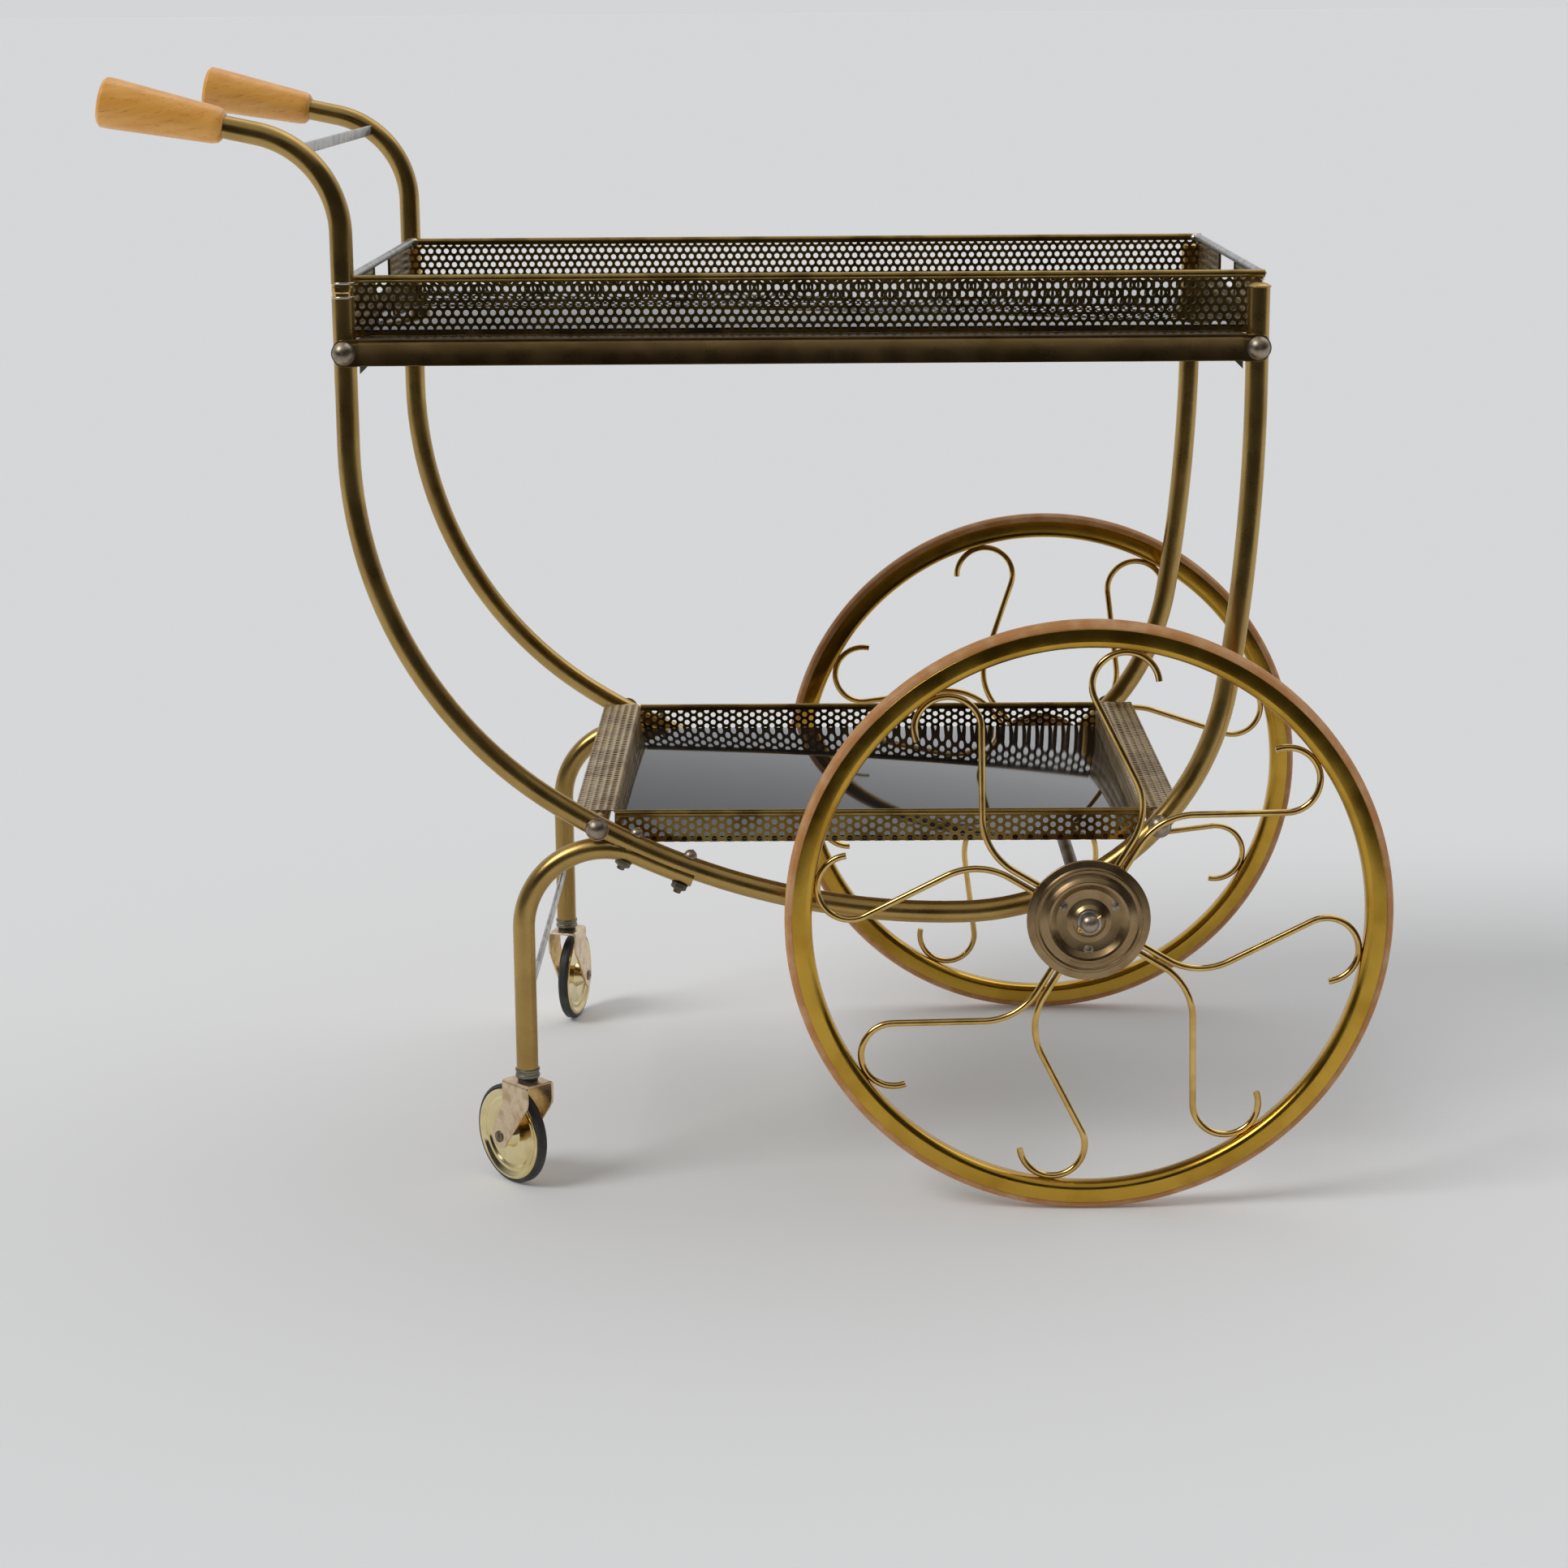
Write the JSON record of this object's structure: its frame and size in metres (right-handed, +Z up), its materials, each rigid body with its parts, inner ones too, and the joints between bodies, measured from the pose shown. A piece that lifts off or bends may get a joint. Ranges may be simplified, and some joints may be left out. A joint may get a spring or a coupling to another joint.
{
  "type": "serving trolley",
  "caption": "Two-tier brass serving trolley with curved tube sides, lift-off perforated trays, large scroll-spoked wheels, swivel casters and wooden grips.",
  "frame": {"origin": "on the floor, under the centre of the overall box", "axes": "+X forward, towards the end with the large wheels; the handles are at -X; +Y left; +Z up"},
  "size_m": [0.8997, 0.5314, 0.8049],
  "materials": {
    "antique_brass": "satin, darkened",
    "polished_brass": "polished",
    "pewter": "dull plated",
    "bare_steel": "bare",
    "dark_steel": "dull",
    "plated_steel": "brass plated",
    "beech": "lacquered",
    "black_glass": "opaque black, polished",
    "tan_tyre": "smooth",
    "dark_tyre": "smooth"
  },
  "bodies": {
    "frame": {"side_tube_left": "antique_brass", "side_tube_right": "antique_brass", "tube_caps": "antique_brass", "joint_sleeves": "polished_brass", "handle_tube_left": "antique_brass", "handle_tube_right": "antique_brass", "grip_left": "beech", "grip_right": "beech", "handle_stay": "bare_steel", "side_rail_left": "antique_brass", "side_rail_right": "antique_brass", "end_rails": "antique_brass", "corner_gussets": "pewter", "rail_bolts": "pewter", "lower_cross_bars": "antique_brass", "cross_bar_bolts": "pewter", "caster_leg_left": "antique_brass", "caster_leg_right": "antique_brass", "leg_bolts": "pewter", "leg_nuts": "antique_brass", "leg_brace": "bare_steel", "axle": "dark_steel", "axle_lugs": "antique_brass", "axle_washers": "pewter", "axle_caps": "pewter", "split_pins": "antique_brass", "caster_sockets": "dark_steel"},
    "upper_tray": {"upper_tray_pan": "antique_brass", "upper_tray_gallery": "polished_brass", "upper_tray_rims": "polished_brass", "upper_tray_end_bars": "bare_steel", "upper_tray_glass": "black_glass"},
    "lower_tray": {"lower_tray_pan": "antique_brass", "lower_tray_gallery": "polished_brass", "lower_tray_flanges": "polished_brass", "lower_tray_rims": "polished_brass", "lower_tray_glass": "black_glass"},
    "wheel_left": {"wheel_tyre_left": "tan_tyre", "wheel_rim_left": "polished_brass", "wheel_scrolls_left": "polished_brass", "hub_cap_left": "antique_brass", "hub_plate_left": "antique_brass", "hub_barrel_left": "pewter", "hub_screws_left": "pewter"},
    "caster_left": {"caster_fork_left": "plated_steel", "caster_axle_left": "bare_steel"},
    "caster_wheel_left": {"caster_disc_left": "plated_steel", "caster_tyre_left": "dark_tyre"},
    "wheel_right": {"wheel_tyre_right": "tan_tyre", "wheel_rim_right": "polished_brass", "wheel_scrolls_right": "polished_brass", "hub_cap_right": "antique_brass", "hub_plate_right": "antique_brass", "hub_barrel_right": "pewter", "hub_screws_right": "pewter"},
    "caster_right": {"caster_fork_right": "plated_steel", "caster_axle_right": "bare_steel"},
    "caster_wheel_right": {"caster_disc_right": "plated_steel", "caster_tyre_right": "dark_tyre"}
  },
  "joints": [
    {"name": "wheel_left_spin", "type": "hinge", "parent": "frame", "child": "wheel_left", "pos_m": [0.23405, 0.2466, 0.216], "axis": [0, 1, 0], "continuous": true},
    {"name": "caster_left_swivel", "type": "hinge", "parent": "frame", "child": "caster_left", "pos_m": [-0.17126, 0.203, 0.09], "axis": [0, 0, 1], "continuous": true},
    {"name": "caster_left_roll", "type": "hinge", "parent": "caster_left", "child": "caster_wheel_left", "pos_m": [-0.16676, 0.22249, 0.0375], "axis": [-0.9744, 0.225, 0], "continuous": true},
    {"name": "wheel_right_spin", "type": "hinge", "parent": "frame", "child": "wheel_right", "pos_m": [0.23405, -0.2466, 0.216], "axis": [0, 1, 0], "continuous": true},
    {"name": "caster_right_swivel", "type": "hinge", "parent": "frame", "child": "caster_right", "pos_m": [-0.17126, -0.203, 0.09], "axis": [0, 0, 1], "continuous": true},
    {"name": "caster_right_roll", "type": "hinge", "parent": "caster_right", "child": "caster_wheel_right", "pos_m": [-0.1849, -0.18837, 0.0375], "axis": [-0.7314, -0.682, 0], "continuous": true},
    {"name": "upper_tray_lift", "type": "slide", "parent": "frame", "child": "upper_tray", "axis": [0, 0, 1], "range_m": [0, 0.25]},
    {"name": "lower_tray_lift", "type": "slide", "parent": "frame", "child": "lower_tray", "axis": [0, 0, 1], "range_m": [0, 0.25]}
  ]
}
